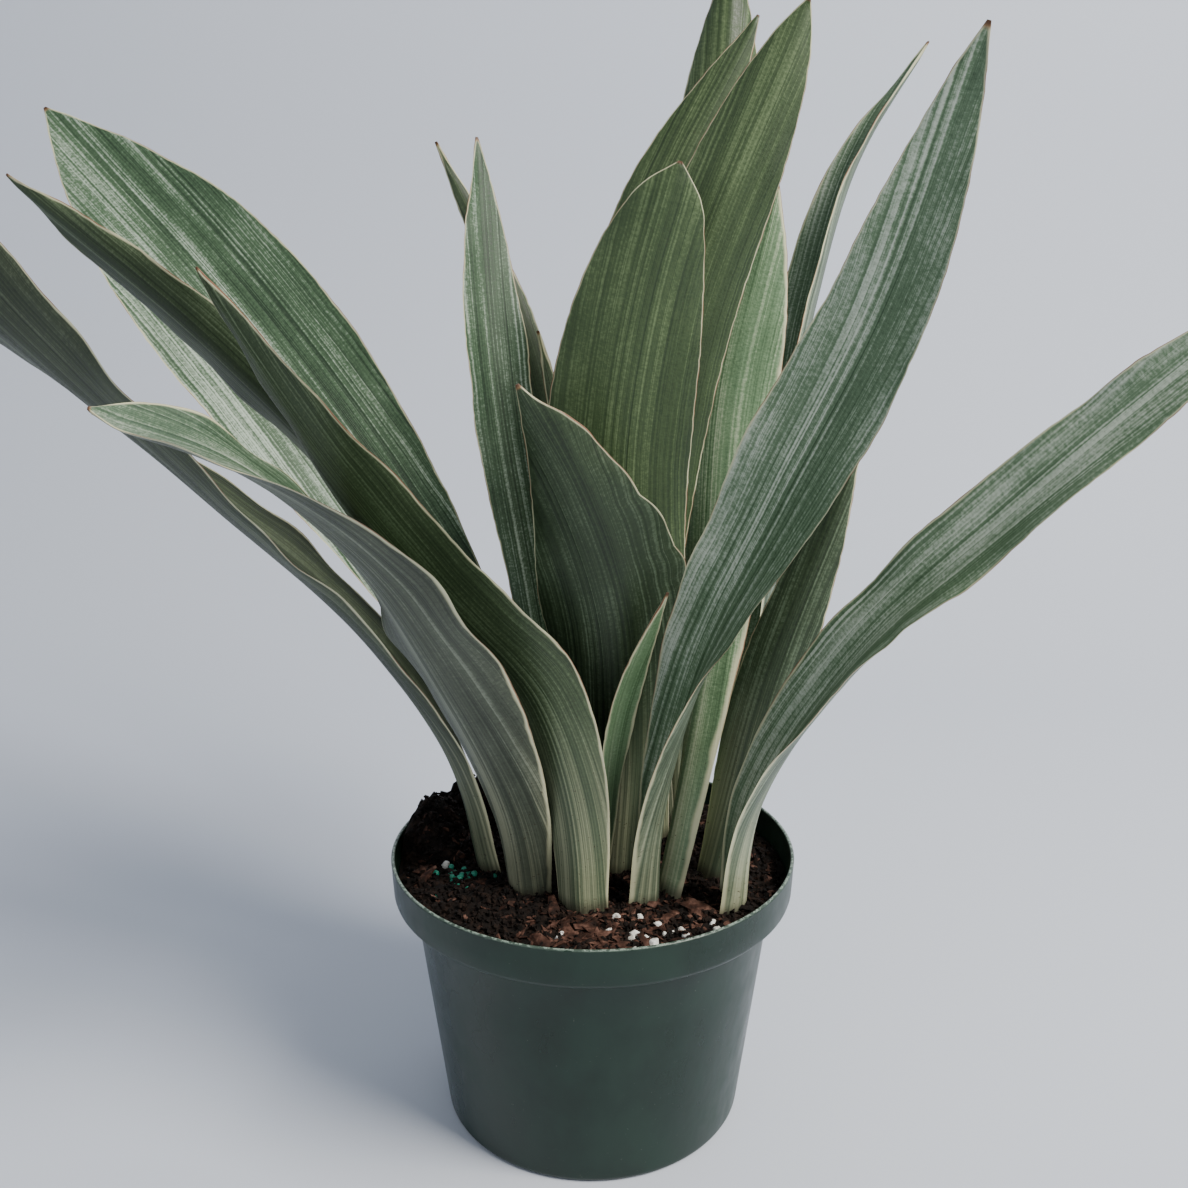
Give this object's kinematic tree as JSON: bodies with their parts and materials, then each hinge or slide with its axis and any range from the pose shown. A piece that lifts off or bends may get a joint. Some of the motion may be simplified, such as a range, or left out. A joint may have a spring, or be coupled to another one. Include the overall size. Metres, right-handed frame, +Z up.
{
  "type": "potted snake plant",
  "caption": "Snake plant with long silver-green sword-shaped leaves rising from bark potting mix in a tapered plastic nursery pot with a deep rim band",
  "frame": {"origin": "middle of the flat underside of the pot, where it stands on the ground", "axes": "+Z up, -Y towards the side the plant is seen from, +X to that view's right"},
  "size_m": [0.4358, 0.2144, 0.4471],
  "materials": {
    "pot_plastic": "satin",
    "potting_mix": "matte",
    "leaf_silver": "satin",
    "leaf_green": "satin",
    "leaf_olive": "satin",
    "leaf_pale": "satin"
  },
  "bodies": {
    "root": {"nursery_pot": "pot_plastic", "potting_mix": "potting_mix", "leaf_left_low": "leaf_green", "leaf_left_broad": "leaf_silver", "leaf_left_pointed": "leaf_green", "leaf_left_wavy": "leaf_silver", "leaf_left_front": "leaf_green", "leaf_back_narrow": "leaf_silver", "leaf_back_crossing": "leaf_green", "leaf_back_short": "leaf_green", "leaf_front_short": "leaf_olive", "leaf_centre_tall": "leaf_olive", "leaf_centre_right": "leaf_olive", "leaf_centre_back": "leaf_green", "leaf_centre_folded": "leaf_pale", "leaf_right_upright": "leaf_pale", "leaf_right_broad": "leaf_silver", "leaf_right_folded": "leaf_silver", "leaf_right_low": "leaf_silver", "leaf_right_dark": "leaf_olive", "leaf_front_young": "leaf_pale"}
  },
  "joints": []
}
